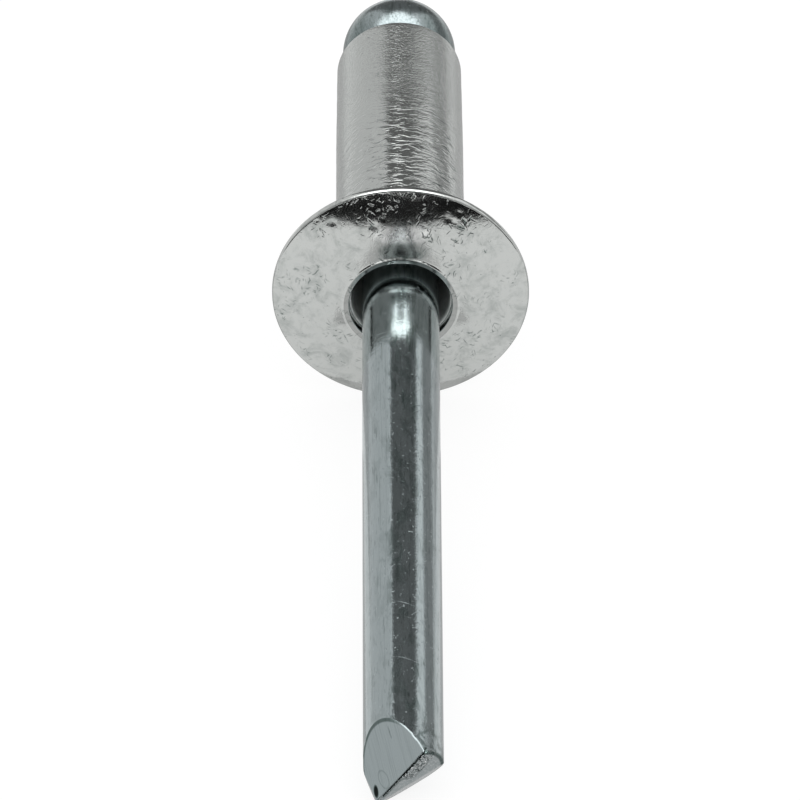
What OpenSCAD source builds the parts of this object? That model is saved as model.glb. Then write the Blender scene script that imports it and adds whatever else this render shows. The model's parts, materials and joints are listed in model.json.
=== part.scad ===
// Pop rivet with a domed flange: a hollow body, and the nail that sets it.
// The rivet lies on its flange rim and on the nail's cut tip, blind end raised.

/* [Body] */
// Diameter of the hollow shank
body_d = 4.8; // [4.4:0.05:5.2]
// Length of the shank under the flange
body_len = 13.8; // [11:0.1:20]
// Length over which the shank narrows to its open end
taper_len = 5; // [2:0.5:7]
// Diameter at the open end
body_end_d = 4.72; // [4.3:0.02:5.2]
// Width of the break on the open end's outer edge
end_break = 0.08; // [0.02:0.01:0.15]
// Radius of the fillet where the shank meets the flange
root_fillet = 0.15; // [0.05:0.05:0.3]

/* [Flange] */
// Diameter of the flange
flange_d = 9.55; // [8.5:0.05:10.5]
// Thickness of the flange's straight rim
rim_t = 0.34; // [0.25:0.01:0.5]
// Height of the dome above the rim, at the mouth
dome_rise = 0.7; // [0.4:0.05:1]
// Radius that rounds the rim's two edges
rim_round = 0.09; // [0.05:0.01:0.12]

/* [Bore] */
// Diameter of the bore that holds the nail
bore_d = 3.1; // [3:0.02:3.3]
// Diameter of the mouth in the flange
mouth_d = 3.82; // [3.6:0.02:4.2]
// Depth of the straight part of the mouth
mouth_depth = 0.45; // [0.3:0.05:0.8]
// Width of the ledge at the bottom of the mouth
ledge_w = 0.07; // [0.03:0.01:0.12]
// Depth at which the funnel below the ledge meets the bore
funnel_depth = 2.4; // [1.5:0.1:4]
// Width of the rounded lip at the mouth's edge
lip_w = 0.09; // [0.04:0.01:0.15]
// Width of the seat that the nail's head pulls against
seat_w = 0.1; // [0.05:0.01:0.14]

/* [Nail] */
// Diameter of the nail's shank
nail_d = 2.87; // [2.6:0.01:2.95]
// Length of nail in front of the flange's mouth
nail_reach = 28; // [22:0.1:40]
// Diameter of the ball of the nail's head
head_d = 4.28; // [4:0.02:4.4]
// Height of the ball's centre above the shank's open end
head_lift = 1.17; // [1.1:0.01:1.4]

/* [Break neck] */
// Thickness that the four coining dies leave between them
neck_t = 1.6; // [1.2:0.05:2.2]
// Distance from the open end down to the neck
neck_below = 1.9; // [1.6:0.1:3]
// Length of the flat at the bottom of each coined notch
neck_flat = 0.3; // [0.1:0.05:0.6]

/* [Cut tip] */
// Turn of the cutting jaws about the nail
jaw_turn = -130; // [-150:5:-110]
// Slope of the long jaw face, from square across the nail
long_slope = 62.4; // [50:0.2:66]
// Slope of the short jaw face
short_slope = 54.2; // [45:0.2:60]
// Slope of the torn face between them
torn_slope = 36; // [20:1:40]
// Turn of the torn face about the nail, from the short jaw face
torn_turn = -25; // [-40:1:40]
// Length of the point that the long jaw face cuts off beyond the torn face
long_past = 0.77; // [0.5:0.01:1]
// Length of the point that the short jaw face cuts off beyond the torn face
short_past = 0.31; // [0.2:0.01:0.6]
// Slope of the crushed corner at the end of the long jaw face
corner_slope = 73; // [60:1:80]
// Turn of the crushed corner about the nail
corner_turn = 165; // [120:5:210]
// Length of the point that the crushed corner cuts off beyond the torn face
corner_past = 3.9; // [3.6:0.05:4.5]

/* [Hidden] */
$fn = 96;

body_r = body_d / 2;
body_end_r = body_end_d / 2;
flange_r = flange_d / 2;
flange_h = rim_t + dome_rise;
bore_r = bore_d / 2;
mouth_r = mouth_d / 2;
nail_r = nail_d / 2;
head_r = head_d / 2;

// Centre height and radius of the sphere that is the flange's dome: it passes
// through the rim's corner and through the edge of the mouth.
dome_mid = (pow(flange_r, 2) + pow(rim_t, 2) - pow(mouth_r, 2) - pow(flange_h, 2)) / (2 * dome_rise);
dome_r = sqrt(pow(flange_r, 2) + pow(dome_mid + rim_t, 2));

// Height on the axis of the torn face, and of the point where the nail's
// underside reaches the short jaw face.
torn_at = -flange_h - nail_reach;
heel_at = torn_at - short_past + nail_r * tan(short_slope) * sin(jaw_turn + 180);

// Lean of the lying rivet: one line touches the rim's corner and the heel.
lean = atan((flange_r - nail_r) / (-rim_t - heel_at));
// Height of the axis over the ground at the bearing face
axis_up = rim_t * sin(lean) + flange_r * cos(lean);
// Length by which the tip's foremost corner is ahead of the torn face's middle
point_ahead = 0.4;
// The axis point at the bearing face is set so that the whole lies centred.
reach_front = (torn_at - point_ahead) * cos(lean);
reach_back = (body_len + head_lift) * cos(lean) + head_r;
axis_back = -(reach_front + reach_back) / 2;

// Puts a shape drawn along Z, blind end up, where the rivet lies.
module lay_down()
{
    translate([0, axis_back, axis_up])
        rotate([lean - 90, 0, 0])
            children();
}

// Half section of the flange's straight rim, with its two edges rounded
module rim_section()
{
    translate([0, -rim_t])
        square([flange_r - rim_round, rim_t]);
    translate([0, rim_round - rim_t])
        square([flange_r, rim_t - 2 * rim_round]);
    for (edge_at = [-rim_round, rim_round - rim_t])
        translate([flange_r - rim_round, edge_at])
            circle(r = rim_round);
}

// The flange: a rounded rim with a cap of a large sphere in front of it
module flange()
{
    rotate_extrude()
        rim_section();
    intersection()
    {
        translate([0, 0, dome_mid])
            sphere(r = dome_r, $fn = 180);
        translate([0, 0, -flange_h])
            cylinder(r = flange_r - rim_round, h = flange_h - rim_round);
    }
}

// The hollow shank, solid here, with its root fillet and its narrowing end
module shank()
{
    straight_len = body_len - taper_len;
    rotate_extrude()
        polygon([
            [0, -rim_t / 2],
            [body_r + root_fillet, -rim_t / 2],
            [body_r + root_fillet, 0],
            for (turn = [15 : 15 : 75])
                [body_r + root_fillet * (1 - sin(turn)), root_fillet * (1 - cos(turn))],
            [body_r, root_fillet],
            [body_r, straight_len],
            [body_end_r, body_len - end_break],
            [body_end_r - end_break, body_len],
            [0, body_len]
        ]);
}

// Everything that is hollow: lip, mouth, ledge, funnel, bore and the nail's seat
module hollow()
{
    mouth_floor = mouth_depth - flange_h;
    rotate_extrude()
        polygon([
            [0, -flange_h - 1],
            [mouth_r + lip_w, -flange_h - 1],
            [mouth_r + lip_w, -flange_h],
            [mouth_r + lip_w * 0.3, lip_w * 0.3 - flange_h],
            [mouth_r, lip_w - flange_h],
            [mouth_r, mouth_floor],
            [mouth_r - ledge_w, mouth_floor],
            [bore_r, funnel_depth - flange_h],
            [bore_r, body_len - seat_w],
            [bore_r + seat_w, body_len],
            [bore_r + seat_w, body_len + 1],
            [0, body_len + 1]
        ]);
}

module rivet_body()
{
    color([0.72, 0.73, 0.72])
        lay_down()
            difference()
            {
                union()
                {
                    flange();
                    shank();
                }
                hollow();
            }
}

// The nail's head: a ball over a cone that bears on the body's seat
module nail_head()
{
    cone_foot = body_len - seat_w - (bore_r - nail_r);
    intersection()
    {
        translate([0, 0, body_len + head_lift])
            sphere(r = head_r);
        translate([0, 0, cone_foot])
            cylinder(r1 = nail_r, r2 = nail_r + 2 * head_r, h = 2 * head_r);
    }
}

// One coining die's notch, cut from the side that faces +X
module neck_notch()
{
    half = neck_flat / 2;
    depth = nail_r - neck_t / 2;
    translate([neck_t / 2, nail_r * 2, body_len - neck_below])
        rotate([90, 0, 0])
            linear_extrude(nail_r * 4)
                polygon([
                    [0, -half],
                    [0, half],
                    [depth * 2, half + depth * 1.2],
                    [depth * 2, -half - depth * 1.2]
                ]);
}

// One cut across the nail: all that lies in front of a plane that slopes back
// towards the head, on the side that the turn gives
module tip_cut(at, slope, turn)
{
    block = 12 * nail_r;
    translate([0, 0, at])
        rotate([0, 0, turn])
            rotate([0, -slope, 0])
                translate([-block / 2, -block / 2, -block])
                    cube(block);
}

module mandrel()
{
    color([0.62, 0.65, 0.66])
        lay_down()
        {
            nail_head();
            difference()
            {
                translate([0, 0, torn_at - nail_r])
                    cylinder(r = nail_r, h = body_len - torn_at + nail_r);
                for (side = [0 : 90 : 270])
                    rotate([0, 0, side])
                        neck_notch();
                tip_cut(torn_at - long_past, long_slope, jaw_turn);
                tip_cut(torn_at - short_past, short_slope, jaw_turn + 180);
                tip_cut(torn_at, torn_slope, jaw_turn + 180 + torn_turn);
                tip_cut(torn_at - corner_past, corner_slope, corner_turn);
            }
        }
}

rivet_body();
mandrel();
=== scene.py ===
import json
import math
import random

import bpy
from mathutils import Matrix, Vector, noise


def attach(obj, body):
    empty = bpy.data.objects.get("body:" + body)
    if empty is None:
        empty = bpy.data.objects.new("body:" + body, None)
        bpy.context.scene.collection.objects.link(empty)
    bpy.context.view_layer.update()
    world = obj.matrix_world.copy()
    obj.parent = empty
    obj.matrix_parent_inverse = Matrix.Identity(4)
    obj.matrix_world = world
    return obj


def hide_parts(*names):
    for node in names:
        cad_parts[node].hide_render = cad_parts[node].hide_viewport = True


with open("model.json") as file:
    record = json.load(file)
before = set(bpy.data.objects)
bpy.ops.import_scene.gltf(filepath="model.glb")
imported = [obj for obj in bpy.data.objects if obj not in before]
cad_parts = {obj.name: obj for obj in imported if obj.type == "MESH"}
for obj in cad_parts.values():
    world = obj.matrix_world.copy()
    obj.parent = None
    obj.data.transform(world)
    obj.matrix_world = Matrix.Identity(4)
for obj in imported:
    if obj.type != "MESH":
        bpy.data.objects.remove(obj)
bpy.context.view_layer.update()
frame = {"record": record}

mm = 0.001


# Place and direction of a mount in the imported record
def readMount(name):
    found = [m for m in frame["record"]["mounts"] if m["name"] == name]
    return Vector(found[0]["pos_m"]), Vector(found[0]["axis"]).normalized()


# The rivet's own axis. Along it, zero is at the flange's bearing face and plus is
# towards the blind end.
shankPoint, alongAxis = readMount("shank_in_hole")
facePoint = readMount("bearing_face")[0]
axisOrigin = shankPoint - alongAxis * (shankPoint - facePoint).dot(alongAxis)
acrossAxis = Vector((1, 0, 0))
downAxis = alongAxis.cross(acrossAxis)


# A point given in mm as x across, y down and s along the rivet's axis, in the row frame
def place(x, y, s):
    return axisOrigin + (acrossAxis * x + downAxis * y + alongAxis * s) * mm


# 0 up to the first value, 1 from the second on, smooth between; they may also fall
def smooth(low, high, value):
    share = min(1.0, max(0.0, (value - low) / (high - low)))
    return share * share * (3 - 2 * share)


# The shader's sums, written as plain arithmetic on sockets
class Field:
    def __init__(self, graph, socket):
        self.graph = graph
        self.socket = socket

    def maths(self, operation, *others):
        return self.graph.node("ShaderNodeMath", {"operation": operation}, dict(enumerate((self, *others))))

    def __add__(self, other):
        return self.maths("ADD", other)

    def __sub__(self, other):
        return self.maths("SUBTRACT", other)

    def __mul__(self, other):
        return self.maths("MULTIPLY", other)

    def __truediv__(self, other):
        return self.maths("DIVIDE", other)

    def __rsub__(self, other):
        return self * -1 + other

    __radd__ = __add__
    __rmul__ = __mul__

    def size(self):
        return self.maths("ABSOLUTE")

    # 0 below the first value, 1 above the second, smooth between
    def ramp(self, low, high):
        sockets = {"Value": self, "From Min": low, "From Max": high}
        return self.graph.node("ShaderNodeMapRange", {"interpolation_type": "SMOOTHSTEP"}, sockets)

    # A line where the value crosses the middle, that many units wide
    def line(self, middle, width):
        return 1 - (self - middle).size().ramp(width * 0.3, width)


# The nodes of one material or world
class Graph:
    def __init__(self, owner):
        owner.use_nodes = True
        self.tree = owner.node_tree
        self.tree.nodes.clear()

    # A node of that kind: its settings first, then its sockets' values or links
    def node(self, kind, settings=None, sockets=None, output=0):
        made = self.tree.nodes.new(kind)
        for name, value in (settings or {}).items():
            setattr(made, name, value)
        for name, value in (sockets or {}).items():
            if isinstance(value, Field):
                self.tree.links.new(value.socket, made.inputs[name])
            else:
                made.inputs[name].default_value = value
        return Field(self, made.outputs[output]) if made.outputs else None

    # Three values that a mesh carries. "place" is the place on the rivet in mm: across,
    # down and along.
    def carried(self, name):
        vector = self.node("ShaderNodeAttribute", {"attribute_name": name}, None, "Vector")
        return [self.node("ShaderNodeSeparateXYZ", None, {"Vector": vector}, part) for part in "XYZ"]

    def noise(self, x, y, z, detail=2.0, roughness=0.5, distortion=0.0):
        vector = self.node("ShaderNodeCombineXYZ", None, {"X": x, "Y": y, "Z": z})
        sockets = {"Vector": vector, "Scale": 1.0, "Detail": detail}
        sockets.update({"Roughness": roughness, "Distortion": distortion})
        return self.node("ShaderNodeTexNoise", None, sockets, "Fac")

    def blend(self, share, first, second):
        return self.node("ShaderNodeMix", {"data_type": "RGBA"}, {0: share, 6: first, 7: second}, 2)

    # Fine straight scratches at that turn, as the level lines of a stretched noise
    def scratches(self, u, v, turn, density, stretch, width, seed):
        cosine, sine = math.cos(turn), math.sin(turn)
        along = (u * cosine + v * sine) * (density / stretch)
        across = (v * cosine - u * sine) * density
        lines = self.noise(along, across, seed, 1.0).line(0.5, width)
        broken = self.noise(along * 2.3, across * 0.6, seed + 5.0, 1.0).ramp(0.52, 0.62)
        return lines * broken

    # Short separate dashes at that turn, as the cells' middles of a stretched cell pattern
    def dashes(self, u, v, turn, density, stretch, width, seed):
        cosine, sine = math.cos(turn), math.sin(turn)
        along = (u * cosine + v * sine) * (density / stretch)
        across = (v * cosine - u * sine) * density
        vector = self.node("ShaderNodeCombineXYZ", None, {"X": along, "Y": across, "Z": seed})
        away = self.node("ShaderNodeTexVoronoi", None, {"Vector": vector, "Scale": 1.0}, "Distance")
        return 1 - away.ramp(width * 0.3, width)

    # A soft oval round a point, 1 in the middle
    def patch(self, u, v, midU, midV, reachU, reachV):
        across, down = (u - midU) / reachU, (v - midV) / reachV
        return 1 - (across * across + down * down).ramp(0.3, 1.3)

    # A relief that many mm deep, on top of the one before it
    def bump(self, height, depth, normal=None):
        sockets = {"Height": height, "Distance": depth * mm, "Strength": 1.0}
        if normal:
            sockets["Normal"] = normal
        return self.node("ShaderNodeBump", None, sockets)


bodyLook = {
    "colour": (0.605, 0.622, 0.607, 1),
    "dark": (0.155, 0.188, 0.177, 1),
    # The brighter colour of the painted highlight on the flange
    "highlightTint": (0.95, 0.96, 0.95, 1),
    "roughness": 0.03,
    "scuff": 0.08,
    "grainDepth": 0.0024,
    "dentDepth": 0.0035,
    "wrinkleDepth": 0.023,
    "pittedFrom": 6.0,  # up the shank, the wrinkles give way to pitting
    "pittedAt": 10.5,
    "nickDepth": 0.0045,
    "nickDensity": 7.4,
    "nickStretch": 3.8,
    # Turn, width and seed of each set of nicks
    "nicks": ((0.4, 0.29, 1.0), (-0.7, 0.27, 11.0), (1.3, 0.25, 21.0), (2.2, 0.29, 31.0)),
    "rub": (0.25, 6.0, 5.0, 0.34, 71.0),  # turn, density, stretch, width, seed
    # Where the painted dark reflection lies above the mouth
    "paintedDarkReflection": (0.08, -2.4, 1.0, 0.42),  # middle across and down, reach across and down
    # Where the painted highlight lies, further out above the mouth
    "paintedHighlight": (0.05, -3.08, 1.15, 0.38),
}


# Bright aluminium, tumbled with its fellows. The flange has dents and short nicks, with a dark reflection
# painted above the mouth and a highlight painted further out. The shank has the wrinkles left by forming,
# with pits near its end.
def bodyMetal():
    material = bpy.data.materials.new("bodyMetal")
    g = Graph(material)
    x, y, s = g.carried("place")
    onShank = s.ramp(-0.02, 0.12)
    onFace = 1 - onShank
    farEnd = s.ramp(bodyLook["pittedFrom"], bodyLook["pittedAt"])
    reach = (x * x + y * y).maths("SQRT")
    within = 1 - reach.ramp(bodySizes["mouthR"] - 0.07, bodySizes["mouthR"] - 0.01)
    grain = g.noise(x * 13, y * 13, s * 13, 3.0, 0.65)
    dents = g.noise(x * 2.4, y * 2.4, s * 2.4, 4.0, 0.62, 0.4)
    patches = g.noise(x * 1.1, y * 1.1, s * 0.8, 2.0, 0.5)
    bloom = g.noise(x * 1.4, y * 1.4, s * 1.4 + 3, 5.0, 0.7, 0.5).ramp(0.42, 0.72)
    specks = g.noise(x * 7, y * 7, s * 7, 2.0, 0.5).ramp(0.70, 0.76)
    sway = g.noise(x * 1.6, y * 1.6, s * 1.6, 1.0) * 0.5
    coarse = g.noise(x * 1.6, y * 1.6, (s + sway) * 6.2, 2.0, 0.5, 0.25).ramp(0.36, 0.64)
    fine = g.noise(x * 4.5, y * 4.5, (s + sway) * 13, 3.0, 0.65, 0.2)
    pitting = g.noise(x * 8, y * 8, s * 9, 3.0, 0.7, 0.6)
    wrinkles = coarse * (1 - farEnd * 0.9) * 0.42 + fine * (1 - farEnd * 0.6) * 0.3
    wrinkles = wrinkles + pitting * (farEnd * 0.55 + 0.08)
    bend = g.noise(x * 1.9, y * 1.9, s * 1.9 + 17, 1.0) * 0.45
    shape = (bodyLook["nickDensity"], bodyLook["nickStretch"])
    bentX, bentY = x + bend, y + bend
    nicks = sum(g.dashes(bentX, bentY, turn, *shape, *others) for turn, *others in bodyLook["nicks"])
    crowds = g.noise(x * 0.9, y * 0.9, s * 0.9 + 7, 3.0).ramp(0.45, 0.62)
    nicks = nicks * (crowds * 0.7 + (-1.9 - y).ramp(0.2, 1.2) * 0.14)
    side = x / bodySizes["bodyR"]
    rubbed = side.ramp(0.45, 0.58) * (1 - side.ramp(0.82, 0.93)) * onShank * (1 - farEnd)
    rubs = g.dashes(y, s + bend, *bodyLook["rub"]) * rubbed * (y * -1).ramp(0.0, 0.1)
    crown = ((x + 0.2) * (x + 0.2) * -1.6).maths("EXPONENT")
    normal = g.bump(crown * onShank * -0.12, 1.0)
    normal = g.bump(grain * (1 - onFace * 0.5 + farEnd), bodyLook["grainDepth"], normal)
    normal = g.bump(dents, bodyLook["dentDepth"], normal)
    normal = g.bump(wrinkles * onShank, bodyLook["wrinkleDepth"], normal)
    normal = g.bump(nicks * onFace, bodyLook["nickDepth"], normal)
    roughness = patches * bodyLook["scuff"] + grain * 0.06 + bodyLook["roughness"]
    roughness = roughness + onShank * 0.015 + within * 0.35 + farEnd * 0.08
    # A painted dark reflection: a darker, mottled oval on the flange above the mouth
    paintedDarkReflection = g.patch(x, y, *bodyLook["paintedDarkReflection"]) * (0.48 + bloom * 0.5)
    # The darkening sums real specks, rubs and nicks with the painted dark reflection above the mouth
    stainAndShade = specks * 0.6 + rubs * 0.9 + onShank * 0.21
    stainAndShade = stainAndShade + onFace * (bloom * 0.38 + nicks * crowds * 0.8 + paintedDarkReflection)
    # A painted highlight: the base colour is brighter in an oval above the mouth, where the flange shows
    # the lamps behind
    paintedHighlight = g.patch(x, y, *bodyLook["paintedHighlight"]) * onFace
    colour = g.blend(paintedHighlight, bodyLook["colour"], bodyLook["highlightTint"])
    colour = g.blend(stainAndShade.maths("MINIMUM", 1.0), colour, bodyLook["dark"])
    sockets = {"Base Color": colour, "Metallic": 1 - within * 0.5, "Roughness": roughness, "Normal": normal}
    shader = g.node("ShaderNodeBsdfPrincipled", None, sockets)
    g.node("ShaderNodeOutputMaterial", None, {"Surface": shader})
    return material


nailLook = {
    "colour": (0.38, 0.433, 0.442, 1),
    "dark": (0.11, 0.145, 0.14, 1),
    "black": (0.015, 0.018, 0.018, 1),
    "fresh": (0.78, 0.8, 0.8, 1),
    "roughness": 0.015,
    "grainDepth": 0.003,
    "waveDepth": 0.0035,
    "drawDepth": 0.0012,
    "speckDepth": 0.004,
    "crumbDepth": 0.045,
    "bruiseDepth": 0.012,
    "scratchDepth": 0.0011,
    # Turn, density, stretch, width and seed of each set of scratches
    "scratches": ((0.7, 1.0, 4.0, 0.018, 3.0), (-1.2, 0.9, 4.0, 0.018, 13.0)),
}


# Zinc-plated steel wire: lengthwise drawing marks, cloudy and blotted plate, bright specks, a
# few stray scratches and a bruise by the tip. Painted shade darkens the head's sides and its
# foot by the body. The cut is streaked, cracked and crumbly, with painted shade in the crack.
def nailMetal():
    material = bpy.data.materials.new("nailMetal")
    g = Graph(material)
    x, y, s = g.carried("place")
    cut, dark, chipped = g.carried("marks")
    uncut = 1 - cut
    endS = bodySizes["length"]
    onHead = s.ramp(endS - 0.3, endS + 0.1)
    # Painted shade at the head's foot, in the crease where it meets the body's end
    headFootShade = (1 - s.ramp(endS + 0.32, endS + 0.48)) * onHead
    bruised = (1 - s.ramp(tornS + 1.04, tornS + 2.04)) * uncut * x.ramp(0.2, 0.5)
    grain = g.noise(x * 12, y * 12, s * 9, 3.0, 0.65)
    waves = g.noise(x * 1.6, y * 1.6, s * 0.6, 2.0, 0.5, 0.3)
    drawn = g.noise(x * 13, y * 13, s * 0.3, 2.0, 0.6)
    clouds = g.noise(x * 1.1, y * 1.1, s * 0.5, 3.0, 0.6, 0.5)
    smears = g.noise(x * 7, y * 7, s * 1.1, 2.0, 0.55, 0.3).ramp(0.60, 0.70)
    blotted = x.ramp(-0.6, -0.3) * (1 - x.ramp(0.45, 0.65)) * 0.75 + 0.25
    blots = g.noise(x * 2.6, y * 2.6, s * 0.8, 4.0, 0.65, 0.4).ramp(0.46, 0.64) * blotted
    ticks = g.noise(x * 16, y * 16, s * 1.6, 1.0, 0.5).ramp(0.68, 0.76)
    specks = g.noise(x * 9, y * 9, s * 6, 1.0, 0.5).ramp(0.69, 0.77)
    scars = sum(g.scratches(s, x, *values) for values in nailLook["scratches"])
    sheared = g.noise((x * 0.46 + y * 0.89) * 0.6, (y * 0.46 - x * 0.89) * 20, 3.0, 3.0, 0.6)
    crumbs = g.noise(x * 12, y * 12, s * 8, 3.0, 0.6)
    bruises = g.noise(x * 3.2, y * 3.2, s * 2.2, 3.0, 0.65, 0.5)
    normal = g.bump(grain * (1 - cut * 0.5), nailLook["grainDepth"])
    normal = g.bump(waves, nailLook["waveDepth"], normal)
    normal = g.bump(drawn * uncut + sheared * cut, nailLook["drawDepth"], normal)
    normal = g.bump(specks * uncut, nailLook["speckDepth"], normal)
    normal = g.bump(crumbs * chipped * chipped, nailLook["crumbDepth"], normal)
    normal = g.bump(bruises * bruised, nailLook["bruiseDepth"], normal)
    normal = g.bump(scars * uncut * -1, nailLook["scratchDepth"], normal)
    roughness = clouds * 0.12 + grain * 0.06 + nailLook["roughness"] + onHead * 0.1
    roughness = roughness + blots * 0.07 + bruised * 0.15
    # Painted shade on the head: darker towards its sides, away from the highlight on top, with a grainy
    # tone of its own
    headShadeAndGrain = (x + 0.15).size().ramp(0.7, 1.4) * 0.5 + grain.ramp(0.45, 0.7) * 0.3
    # The darkening sums real stains with painted shade on the head's sides, at its foot and in the cut's
    # crack
    stainAndShade = smears * 0.3 + blots * 0.7 + ticks * 0.35 + drawn.ramp(0.56, 0.68) * 0.2
    stainAndShade = (stainAndShade + clouds.ramp(0.5, 0.8) * 0.15) * uncut + onHead * headShadeAndGrain + headFootShade * 0.6
    stainAndShade = stainAndShade + sheared.ramp(0.45, 0.75) * cut * 0.22 + bruises.ramp(0.42, 0.60) * bruised * 0.8 + dark
    fresh = (crumbs.ramp(0.52, 0.6) * 0.65 + 0.35) * chipped
    colour = g.blend(fresh, nailLook["colour"], nailLook["fresh"])
    colour = g.blend(stainAndShade.maths("MINIMUM", 1.0), colour, nailLook["dark"])
    colour = g.blend((dark - 1).maths("MAXIMUM", 0.0), colour, nailLook["black"])  # past 1, dark is black
    sockets = {"Base Color": colour, "Metallic": 1.0, "Roughness": roughness, "Normal": normal}
    shader = g.node("ShaderNodeBsdfPrincipled", None, sockets)
    g.node("ShaderNodeOutputMaterial", None, {"Surface": shader})
    return material


# A mesh turned about the rivet's axis. Each row is a function of the turn that gives
# (radius, s), and turn 0 is the top of the lying rivet. A row of radius 0 becomes a pole, and
# in a closed mesh the last row joins the first. The dent moves each point, and the mark gives
# the three values of "marks" there.
def ringMesh(name, rows, segments, closed, dent, mark=None):
    vertices, faces, starts, places = [], [], [], []
    turns = [2 * math.pi * i / segments for i in range(segments)]
    for row in rows:
        first = row(0.0)
        starts.append((len(vertices), first[0] < 1e-9))
        for turn in turns if first[0] >= 1e-9 else turns[:1]:
            radius, s = row(turn)
            x, y = radius * math.sin(turn), -radius * math.cos(turn)
            x, y, s = dent(x, y, s)
            places.append((x, y, s))
            vertices.append(place(x, y, s))
    pairs = list(zip(starts, starts[1:]))
    if closed:
        pairs.append((starts[-1], starts[0]))
    for (a, aPole), (b, bPole) in pairs:
        for i in range(segments):
            j = (i + 1) % segments
            if aPole:
                faces.append((a, b + j, b + i))
            elif bPole:
                faces.append((a + i, a + j, b))
            else:
                faces.append((a + i, a + j, b + j, b + i))
    mesh = bpy.data.meshes.new(name)
    mesh.from_pydata(vertices, [], faces)
    mesh.validate()
    mesh.polygons.foreach_set("use_smooth", [True] * len(mesh.polygons))
    layer = mesh.attributes.new("place", "FLOAT_VECTOR", "POINT")
    layer.data.foreach_set("vector", [value for point in places for value in point])
    if mark:
        layer = mesh.attributes.new("marks", "FLOAT_VECTOR", "POINT")
        layer.data.foreach_set("vector", [value for point in places for value in mark(*point)])
    made = bpy.data.objects.new(name, mesh)
    bpy.context.scene.collection.objects.link(made)
    return made


# Points from one profile point to another, without the last
def straight(start, end, count):
    return [tuple(a + (b - a) * i / count for a, b in zip(start, end)) for i in range(count)]


# Points along an arc of the profile, angles in degrees from outwards towards the blind end
def arc(middle, radius, start, end, count):
    turns = [math.radians(start + (end - start) * i / count) for i in range(count + 1)]
    return [(middle[0] + radius * math.cos(t), middle[1] + radius * math.sin(t)) for t in turns]


# A row that is the same at every turn
def plain(point):
    return lambda turn: point


# Sizes in mm, outwards from the axis or along it
bodySizes = {
    "bodyR": 2.4,
    "endR": 2.36,
    "length": 13.8,
    "taper": 5.0,
    "endBreak": 0.08,
    "fillet": 0.15,
    "flangeR": 4.775,
    "rim": 0.34,
    "rimRound": 0.12,
    "rise": 0.7,
    "domeSlope": 24,
    "domeRings": 82,
    "mouthR": 1.91,
    "mouthDepth": 0.45,
    "lip": 0.09,
    "ring": 0.15,  # the raised ring round the mouth
    "ringDrop": 0.03,  # how far it falls back at the mouth's edge
    "bead": 0.008,
    "bevel": 0.08,  # the ring's outer slope
    "bevelRise": 0.0355,
    "lipEdge": 0.05,
    "ledge": 0.07,
    "funnel": 2.4,
    "boreR": 1.55,
    "seat": 0.1,
    "segments": 400,
    "dents": 130,
    "seed": 7,
}


# The body's half section, a closed loop from the seat out, round and back up the bore
def bodyProfile():
    z = bodySizes
    bodyR, endR, boreR, mouthR = z["bodyR"], z["endR"], z["boreR"], z["mouthR"]
    fillet, rimRound, endBreak, edge = z["fillet"], z["rimRound"], z["endBreak"], z["lipEdge"]
    seatR, ledgeR, cornerR = boreR + z["seat"], mouthR - z["ledge"], z["flangeR"] - rimRound
    faceS = -z["rim"] - z["rise"]
    mouthS, bandS, funnelS = faceS + z["mouthDepth"], faceS + z["ringDrop"], faceS + z["funnel"]
    endS = z["length"]
    seatS, breakS, taperS = endS - z["seat"], endS - endBreak, endS - z["taper"]
    rimFront = arc((cornerR, rimRound - z["rim"]), rimRound, 0, z["domeSlope"] - 90, 8)
    rimR, rimS = rimFront[-1]
    footR = mouthR + z["lip"] + z["ring"] + z["bevel"] / 2  # where the dome ends at the lip's bevel
    footS = faceS - z["bead"] + z["bevelRise"]
    midS = (rimR ** 2 + rimS ** 2 - footR ** 2 - footS ** 2) / (2 * (rimS - footS))
    domeR = math.hypot(rimR, midS - rimS)
    dome = []
    for i in range(1, z["domeRings"] + 1):
        r = rimR + (footR - rimR) * i / z["domeRings"]
        dome.append((r, midS - math.sqrt(domeR ** 2 - r ** 2)))
    crest = (footR - z["bevel"], faceS - z["bead"])
    dome += straight(dome[-1], crest, 4)[1:]
    dome += [crest, (crest[0] - edge, faceS + z["bead"])]
    points = straight((boreR, seatS), (seatR, endS), 2)
    points += straight((seatR, endS), (endR - endBreak, endS), 4)
    points += arc((endR - endBreak, breakS), endBreak, 90, 0, 5)
    points += straight((endR, breakS), (bodyR, taperS), 32)[1:]
    points += straight((bodyR, taperS), (bodyR, fillet), 50)
    points += arc((bodyR + fillet, fillet), fillet, 180, 270, 5)
    points += straight((bodyR + fillet, 0), (cornerR, 0), 10)[1:]
    points += arc((cornerR, -rimRound), rimRound, 90, 0, 5)
    points += rimFront + dome
    points += straight(dome[-1], (mouthR + edge, bandS), 5)[1:]
    points += arc((mouthR + edge, bandS + edge), edge, -90, -180, 5)
    points += straight((mouthR, bandS + edge), (mouthR, mouthS), 6)[1:]
    points += straight((mouthR, mouthS), (ledgeR, mouthS), 2)
    points += straight((ledgeR, mouthS), (boreR, funnelS), 8)
    points += straight((boreR, funnelS), (boreR, seatS), 10)
    return points


# Dents scattered over the flange and the shank: (x, y, s, reach, depth)
def scatterDents():
    z = bodySizes
    draw = random.Random(z["seed"])
    found = []
    for i in range(z["dents"]):
        turn = draw.uniform(0, 2 * math.pi)
        if i % 3:
            r = math.sqrt(draw.uniform(z["mouthR"] ** 2 + 1, (z["flangeR"] - 0.1) ** 2))
            s = -z["rim"] - z["rise"] * (1 - (r / z["flangeR"]) ** 2)
        else:
            r, s = z["bodyR"], draw.uniform(0.5, z["length"] - 0.3)
        reach = draw.uniform(0.07, 0.2)
        depth = reach * draw.uniform(0.012, 0.045)
        found.append((r * math.sin(turn), -r * math.cos(turn), s, reach, depth))
    return found


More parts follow.
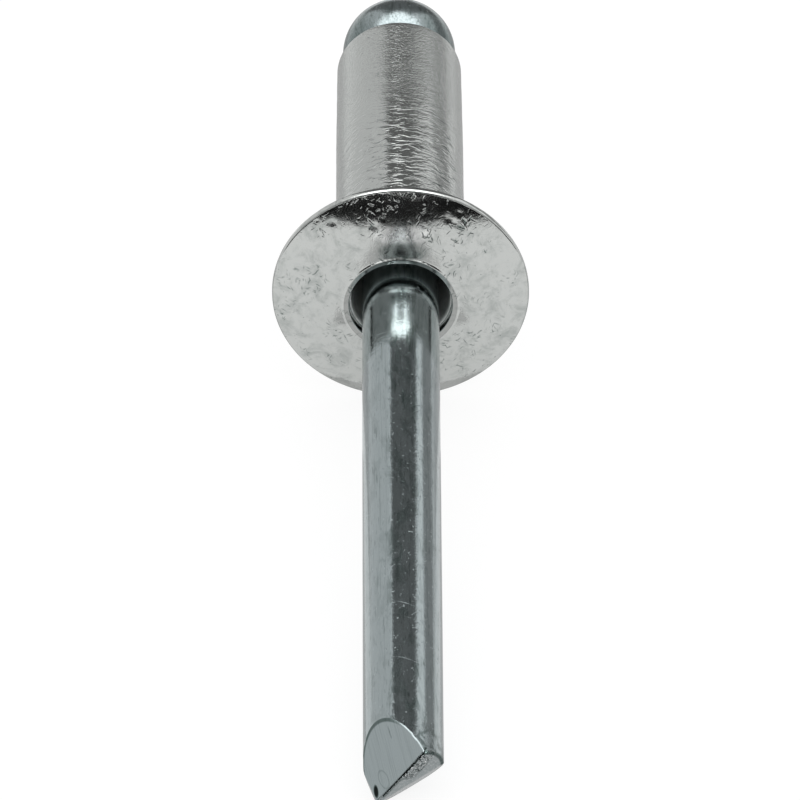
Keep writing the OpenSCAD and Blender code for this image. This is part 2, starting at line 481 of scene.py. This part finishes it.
def makeBody(material):
    z = bodySizes
    cells = {}  # the dents by the cubes of 1 mm in which they may be felt
    for found in scatterDents():
        for i in range(-1, 2):
            for j in range(-1, 2):
                for k in range(-1, 2):
                    key = (round(found[0]) + i, round(found[1]) + j, round(found[2]) + k)
                    cells.setdefault(key, []).append(found)

    # All lumps stay inside the plain shape
    def dent(x, y, s):
        r = math.hypot(x, y)
        if r < z["mouthR"] + 0.05:
            return x, y, s
        deep = 0.0
        for dx, dy, ds, reach, depth in cells.get((round(x), round(y), round(s)), ()):
            away = ((x - dx) ** 2 + (y - dy) ** 2 + (s - ds) ** 2) / reach ** 2
            if away < 4:
                deep += depth * math.exp(-away * 1.5)
        rough = noise.noise(Vector((x, y, s)) * 1.7)
        if s > 0.2:
            ring = noise.noise(Vector((x * 0.35, y * 0.35, s * 5.5))) * 0.0015
            ring += noise.noise(Vector((x * 0.5, y * 0.5, s * 2.2 + 9))) * 0.004
            inward = 0.007 + deep + rough * 0.004 + ring
            return x * (1 - inward / r), y * (1 - inward / r), s
        if r > z["flangeR"] - 0.06:
            nick = 0.002 + 0.008 * max(0.0, noise.noise(Vector((x * 2.6, y * 2.6, 3))))
            return x * (1 - nick / r), y * (1 - nick / r), s
        if s < -z["rim"] * 0.9:
            fade = smooth(z["mouthR"] + 0.1, z["mouthR"] + 0.4, r)
            return x, y, s + deep + (0.003 + rough * 0.002) * fade
        return x, y, s

    made = ringMesh("rivetBody", [plain(p) for p in bodyProfile()], z["segments"], True, dent)
    made.data.materials.append(material)
    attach(made, "root")
    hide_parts("rivet_body")
    print("body", len(made.data.polygons), "faces")
    return made


nailSizes = {
    "nailR": 1.435,
    "reach": 28.0,
    "headR": 2.14,
    "headLift": 1.17,
    "neck": 0.8,
    "neckBelow": 1.9,
    "neckFlat": 0.3,
    "neckSlope": 0.6,
    "neckSpan": 1.2,
    "jawTurn": -130,
    "longSlope": 62.4,
    "longPast": 0.77,
    "shortSlope": 54.2,
    "shortPast": 0.31,
    "tornSlope": 36,
    "tornTurn": 25,
    "cornerSlope": 73,
    "cornerTurn": 165,
    "cornerPast": 3.9,
    "facesPart": 2.2,  # mm between the long and the torn face for each mm past their edge
    "edge": 0.035,
    "edgeRise": 1.4,  # height of the rounded edge, in widths
    "keen": 70,  # how sharply the cut's planes meet
    "segments": 352,
    "capRings": 108,
    "sideRings": 22,
}

# Places along the axis that follow from the sizes: the torn face, the foot of the cone
# under the head, the break neck and the ball's middle
tornS = -bodySizes["rim"] - bodySizes["rise"] - nailSizes["reach"]
coneFoot = bodySizes["length"] - bodySizes["seat"] - (bodySizes["boreR"] - nailSizes["nailR"])
neckAt = bodySizes["length"] - nailSizes["neckBelow"]
ballMid = bodySizes["length"] + nailSizes["headLift"]


# Height on the axis of a cutting plane over the point x, y
def planeAt(x, y, at, slope, turn):
    lean = math.tan(math.radians(slope))
    return at + lean * (x * math.cos(math.radians(turn)) + y * math.sin(math.radians(turn)))


# The cut tip's planes over x, y: both jaw faces, the torn face and the crushed corner,
# and how far the point is past the long face's edge
def tipPlanes(x, y):
    z = nailSizes
    long = planeAt(x, y, tornS - z["longPast"], z["longSlope"], z["jawTurn"])
    short = planeAt(x, y, tornS - z["shortPast"], z["shortSlope"], z["jawTurn"] + 180)
    torn = planeAt(x, y, tornS, z["tornSlope"], z["tornTurn"])
    corner = planeAt(x, y, tornS - z["cornerPast"], z["cornerSlope"], z["cornerTurn"])
    return long, short, torn, corner, (torn - long) / z["facesPart"]


# How far the ragged strip reaches past that edge, wider towards +X
def raggedReach(x):
    return 0.13 + 0.55 * smooth(-0.15, 0.4, x)


# Height of the cut tip's surface over x, y. It is cracked and chipped beside the long
# face's edge and streaked beyond, and its planes meet in edges that are a little blunt.
def tipAt(x, y):
    keen = nailSizes["keen"]
    long, short, torn, corner, past = tipPlanes(x, y)
    if past > 0:
        ragged = noise.noise(Vector((x * 5, y * 5, 1.7)))
        reach = raggedReach(x)
        crack = 0.14 * math.exp(-(((past - 0.06) / 0.06) ** 2)) * (0.8 + ragged)
        coarse = smooth(reach + 0.06, reach - 0.06, past) * smooth(0.0, 0.04, past)
        chips = abs(noise.noise(Vector((x * 9, y * 9, 4.2)))) - 0.25
        streaks = noise.noise(Vector(((x - y * 0.2) * 0.8, (y + x * 0.2) * 11, 8)))
        shift = crack + chips * 0.15 * coarse + streaks * 0.012 * (1 - coarse)
        torn += shift
        short += shift * 0.7
    planes = (long, short, torn, corner)
    top = max(planes)
    total = sum(math.exp((value - top) * keen) for value in planes)
    grain = noise.noise(Vector((x * 3, y * 3, 0))) * 0.006
    return top + math.log(total) / keen + grain


# Marks on the long face: the middle of each, across and down, and how dark it is
faceLook = {
    "outline": 0.9,
    "pit": (-0.97, 0.37, 2.0),
    "scar": (-0.7, 0.0, 0.3),
    "scratch": (-0.48, -1.08, 0.6),
}


# How dark the long face is there: its outline, a pit, a round scar and a short scratch
def faceMarks(x, y, rim):
    outline = faceLook["outline"] * rim * smooth(0.1, -0.5, x)
    midX, midY, dark = faceLook["pit"]
    pit = dark * smooth(0.1, 0.06, math.hypot(x - midX, (y - midY) * 0.65))
    midX, midY, dark = faceLook["scar"]
    ring = abs(math.hypot((x - midX) / 0.19, (y - midY) / 0.165) - 1)
    scar = dark * smooth(0.16, 0.04, ring)
    midX, midY, dark = faceLook["scratch"]
    along = (x - midX) * 0.54 + (y - midY) * 0.84
    across = (y - midY) * 0.54 - (x - midX) * 0.84
    scratch = dark * smooth(0.025, 0.01, abs(across)) * smooth(0.14, 0.08, abs(along))
    return max(outline, pit, scar, scratch)


# Marks on the nail: on the cut, how dark, with painted shade in the crack, and how crumbly
def nailMarks(x, y, s):
    if s > tornS + 4.5 or s - tipAt(x, y) > 0.06:
        return 0.0, 0.0, 0.0
    past = tipPlanes(x, y)[4]
    inside = nailSizes["nailR"] - math.hypot(x, y)
    if past <= 0:
        return 1.0, faceMarks(x, y, smooth(0.06, 0.035, inside)), 0.0
    ragged = noise.noise(Vector((x * 4, y * 4, 5.5)))
    reach = raggedReach(x)
    broken = max(smooth(-0.1, 0.3, x), smooth(-0.35, -0.1, ragged))
    # Painted shade: the crack beside the long face's edge is darkened to black, over the step that the
    # tip's shape has there
    crack = smooth(0.14, 0.08, past) * smooth(0.0, 0.02, past) * broken
    seam = 0.7 * math.exp(-(((past - reach - 0.03) / 0.035) ** 2)) * smooth(-0.3, 0.1, ragged)
    coarse = smooth(reach + 0.05, reach - 0.05, past)
    speckle = smooth(0.05, 0.25, noise.noise(Vector((x * 10, y * 10, 2.5)))) * 0.5 * coarse
    rim = smooth(0.15, 0.09, inside)
    return 1.0, max(crack * 1.8, seam, speckle, rim), 0.5 + coarse * 0.5


# Radius of the nail's side at that height and turn: the four coined notches, the cone
# under the head and the head's ball
def nailRadius(s, turn):
    z = nailSizes
    past = max(0.0, abs(s - neckAt) - z["neckFlat"] / 2)
    flat = z["neck"] + past / z["neckSlope"]
    radius = min(z["nailR"], flat / max(abs(math.cos(turn)), abs(math.sin(turn))))
    if s > coneFoot:
        ball = math.sqrt(max(0.0, z["headR"] ** 2 - (s - ballMid) ** 2))
        cone = z["nailR"] + s - coneFoot
        radius = min(ball, cone) if s > bodySizes["length"] - 0.2 else cone
    return radius


def makeNail(material):
    z = nailSizes
    full, edge = z["nailR"], z["edge"]

    def tipOver(radius, turn):
        return tipAt(radius * math.sin(turn), -radius * math.cos(turn))

    # Rings over the cut, out to its edge
    def capRow(share):
        def row(turn):
            radius = (full - edge) * share
            return radius, tipOver(radius, turn)
        return row

    # The cut's rounded edge
    def edgeRow(angle):
        def row(turn):
            radius = full - edge + edge * math.sin(angle)
            return radius, tipOver(radius, turn) + edge * (1 - math.cos(angle)) * z["edgeRise"]
        return row

    # The side beyond it, up to a level ring
    def sideRow(share, top):
        def row(turn):
            start = tipOver(full, turn) + edge * z["edgeRise"]
            return full, start + (top - start) * share
        return row

    def heightRow(s):
        return lambda turn: (nailRadius(s, turn), s)

    sideStart = tornS + 4.2
    neckStart, neckEnd = neckAt - z["neckSpan"], neckAt + z["neckSpan"]
    rows = [capRow(i / z["capRings"]) for i in range(z["capRings"] + 1)]
    rows += [edgeRow(math.radians(a)) for a in (22, 45, 68, 90)]
    rows += [sideRow((i / z["sideRings"]) ** 1.3, sideStart) for i in range(1, z["sideRings"] + 1)]
    heights = [p[0] for p in straight((sideStart,), (neckStart,), 50)[1:]]
    heights += [p[0] for p in straight((neckStart,), (neckEnd,), 24)]
    heights += [coneFoot - 0.1, coneFoot, coneFoot + 0.1, coneFoot + 0.2]
    ballFoot = math.degrees(math.asin((coneFoot + 0.33 - ballMid) / z["headR"]))
    heights += [s for _, s in arc((0, ballMid), z["headR"], ballFoot, 90, 38)]
    rows += [heightRow(s) for s in heights[:-1]]
    rows.append(plain((0.0, ballMid + z["headR"])))

    # The wire is lumpy by a few thousandths, and battered near the tip
    def dent(x, y, s):
        r = math.hypot(x, y)
        if r < full * 0.98 or s > neckAt - 1.5 and s < bodySizes["length"]:
            return x, y, s
        near = smooth(tornS + 4, tornS + 1, s)
        inward = 0.004 + noise.noise(Vector((x * 0.8, y * 0.8, s * 0.5))) * 0.004
        inward += 0.02 * near * max(0.0, noise.noise(Vector((x * 3, y * 3, s * 2))) - 0.1)
        return x * (1 - inward / r), y * (1 - inward / r), s

    made = ringMesh("nail", rows, z["segments"], False, dent, nailMarks)
    made.data.materials.append(material)
    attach(made, "root")
    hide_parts("mandrel")
    print("nail", len(made.data.polygons), "faces")
    return made


roomLook = {
    "daylight": 0.86,
    "floorColour": (0.8, 0.8, 0.8, 1),
    "floorWhite": 1.15,
    "floorLift": 0.75,
    "floorInMetal": 0.62,
    "floorSide": 1.4,
    "cardAway": 0.6,
    "flangeAt": 0.005,
}


# 1 for what the camera sees directly, that share for what metal or glass shows, and 0
# for light on a dull surface
def seenShare(g, inMetal):
    camera = g.node("ShaderNodeLightPath", None, None, "Is Camera Ray")
    glossy = g.node("ShaderNodeLightPath", None, None, "Is Glossy Ray")
    through = g.node("ShaderNodeLightPath", None, None, "Is Transmission Ray")
    return (camera + (glossy + through) * inMetal).maths("MINIMUM", 1.0)


# White to the eye and in metal, a plain level light to everything else
def makeWorld():
    world = bpy.data.worlds.new("room")
    bpy.context.scene.world = world
    g = Graph(world)
    level = seenShare(g, 1.0) * (1 - roomLook["daylight"]) + roomLook["daylight"]
    light = g.node("ShaderNodeBackground", None, {"Color": (1, 1, 1, 1), "Strength": level})
    g.node("ShaderNodeOutputWorld", None, {"Surface": light})


def roomMesh(name, vertices, faces, material):
    mesh = bpy.data.meshes.new(name)
    mesh.from_pydata(vertices, [], faces)
    mesh.materials.append(material)
    made = bpy.data.objects.new(name, mesh)
    bpy.context.scene.collection.objects.link(made)
    return made


# The pale floor, lifted to white for the eye, with the shadow kept on it
def makeFloor():
    material = bpy.data.materials.new("floor")
    g = Graph(material)
    paper = g.node("ShaderNodeBsdfDiffuse", None, {"Color": roomLook["floorColour"]})
    white = g.node("ShaderNodeEmission", None, {"Color": (1, 1, 1, 1), "Strength": roomLook["floorWhite"]})
    share = seenShare(g, roomLook["floorInMetal"]) * roomLook["floorLift"]
    shader = g.node("ShaderNodeMixShader", None, {0: share, 1: paper, 2: white})
    g.node("ShaderNodeOutputMaterial", None, {"Surface": shader})
    half = roomLook["floorSide"] / 2
    corners = [(-half, -half, 0), (half, -half, 0), (half, half, 0), (-half, half, 0)]
    made = roomMesh("floor", corners, [(0, 1, 2, 3)], material)


# A sheet of one even level, which shows in the metal, but not to the camera, and lights
# nothing dull. The function gives its point at two shares from 0 to 1.
def evenSheet(name, pointAt, level):
    steps = 8
    vertices = [pointAt(i / steps, j / steps) for i in range(steps + 1) for j in range(steps + 1)]
    faces = []
    for i in range(steps):
        for j in range(steps):
            a = i * (steps + 1) + j
            faces.append((a, a + 1, a + steps + 2, a + steps + 1))
    material = bpy.data.materials.new(name)
    g = Graph(material)
    shader = g.node("ShaderNodeEmission", None, {"Color": (1, 1, 1, 1), "Strength": level})
    g.node("ShaderNodeOutputMaterial", None, {"Surface": shader})
    made = roomMesh(name, vertices, faces, material)
    made.visible_camera = False
    made.visible_diffuse = False
    made.visible_shadow = False


# A card or lamp that stands round the rivet, between two bearings from straight ahead
# (+Y, plus to the right) and two heights over the floor, all in degrees
def standCard(name, bearings, heights, level):
    def pointAt(u, v):
        bearing = math.radians(bearings[0] + (bearings[1] - bearings[0]) * u)
        height = math.radians(heights[0] + (heights[1] - heights[0]) * v)
        flat = roomLook["cardAway"] * math.cos(height)
        return flat * math.sin(bearing), flat * math.cos(bearing), roomLook["cardAway"] * math.sin(height)

    evenSheet(name, pointAt, level)


# A card that lies on the floor round the flange, between two distances from it
def layCard(name, bearings, near, far, level):
    def pointAt(u, v):
        bearing = math.radians(bearings[0] + (bearings[1] - bearings[0]) * u)
        away = near + (far - near) * v * v
        return away * math.sin(bearing), away * math.cos(bearing) + roomLook["flangeAt"], 0.0002

    evenSheet(name, pointAt, level)


# A card that lies right under the rivet as a painted shadow: it stands in for the rivet's shadow on the
# floor as the metal shows it, and keeps its grazing edges darker than the bright floor. Half its
# width, and the two ends of it along Y
def floorShadowSheet(name, half, ends, level):
    def pointAt(u, v):
        return half * (2 * u - 1), ends[0] + (ends[1] - ends[0]) * v, 0.00005

    evenSheet(name, pointAt, level)


def makeCards():
    standCard("aheadCard", (-24.2, 30.1), (0, 52), 0.172)
    standCard("stripCard", (30.1, 31.2), (0, 52), 0.98)
    standCard("upperRightCard", (31.3, 75), (21.2, 46), 1.0)
    standCard("leftCard", (-100, -25.8), (0, 46), 0.73)
    standCard("rightCard", (31.2, 75), (0, 21), 0.36)
    standCard("behindCard", (150, 210), (6, 46), 0.05)
    standCard("behindLeftCard", (210, 262), (-1, 46), 0.45)
    standCard("behindRightCard", (98, 150), (-1, 46), 0.45)
    standCard("behindUpperCard", (98, 262), (46.2, 56), 0.75)
    standCard("lowCard", (150, 210), (1.2, 5.0), 1.8)
    standCard("horizonCard", (150, 210), (-0.8, 1.1), 0.02)
    standCard("lampBehindLeft", (198, 255), (56.2, 67), 4.2)
    standCard("lampBehindRight", (105, 162), (56.2, 67), 4.2)
    standCard("lampAbove", (-75, 80), (53, 86), 2.3)
    standCard("lampBehind", (105, 255), (67.2, 80), 8.0)
    standCard("edgeStrip", (-25.7, -24.3), (20, 46), 1.2)
    layCard("frontCard", (98, 262), 0.036, 0.6, 0.01)
    # Painted shadow under the shank and under the nail, as the metal shows it
    floorShadowSheet("shankShadowCard", 0.02, (0.006, 0.05), 0.55)
    floorShadowSheet("nailShadowCard", 0.004, (-0.035, 0.0025), 0.55)
    layCard("rightFloorCard", (35, 97), 0.025, 0.6, 0.70)
    layCard("leftFloorCard", (-97, -35), 0.025, 0.6, 0.76)


viewSet = {
    "aimAlong": -6.82,
    "angle": 37.2,
    "away": 0.45,
    "pixelsPerMm": 27.25,
    "lean": 0.35,
    "shift": 1.2,
    "frameSide": 800,
    "sensor": 36,
}


# The camera looks at that point on the axis from that far away (m) and at that angle to
# the axis. It leans by some degrees, and its picture is shifted by some pixels.
def makeCamera():
    v = viewSet
    target = place(0, 0, v["aimAlong"])
    rise = math.asin(alongAxis.z)
    dip = math.radians(v["angle"]) - rise
    looking = Vector((0, math.cos(dip), -math.sin(dip)))
    lens = v["pixelsPerMm"] * (v["away"] / mm) / v["frameSide"] * v["sensor"]
    data = bpy.data.cameras.new("camera")
    data.lens = lens
    data.sensor_width = v["sensor"]
    data.shift_x = -v["shift"] / v["frameSide"]
    data.clip_start = 0.01
    data.clip_end = 10
    made = bpy.data.objects.new("camera", data)
    bpy.context.scene.collection.objects.link(made)
    turn = looking.to_track_quat("-Z", "Y").to_matrix().to_4x4()
    roll = Matrix.Rotation(math.radians(-v["lean"]), 4, "Z")
    made.matrix_world = Matrix.Translation(target - looking * v["away"]) @ turn @ roll
    bpy.context.scene.camera = made


makeWorld()
makeFloor()
makeCards()
makeCamera()
print("room and camera made")
makeBody(bodyMetal())
makeNail(nailMetal())

bpy.context.scene.view_settings.view_transform = "Standard"
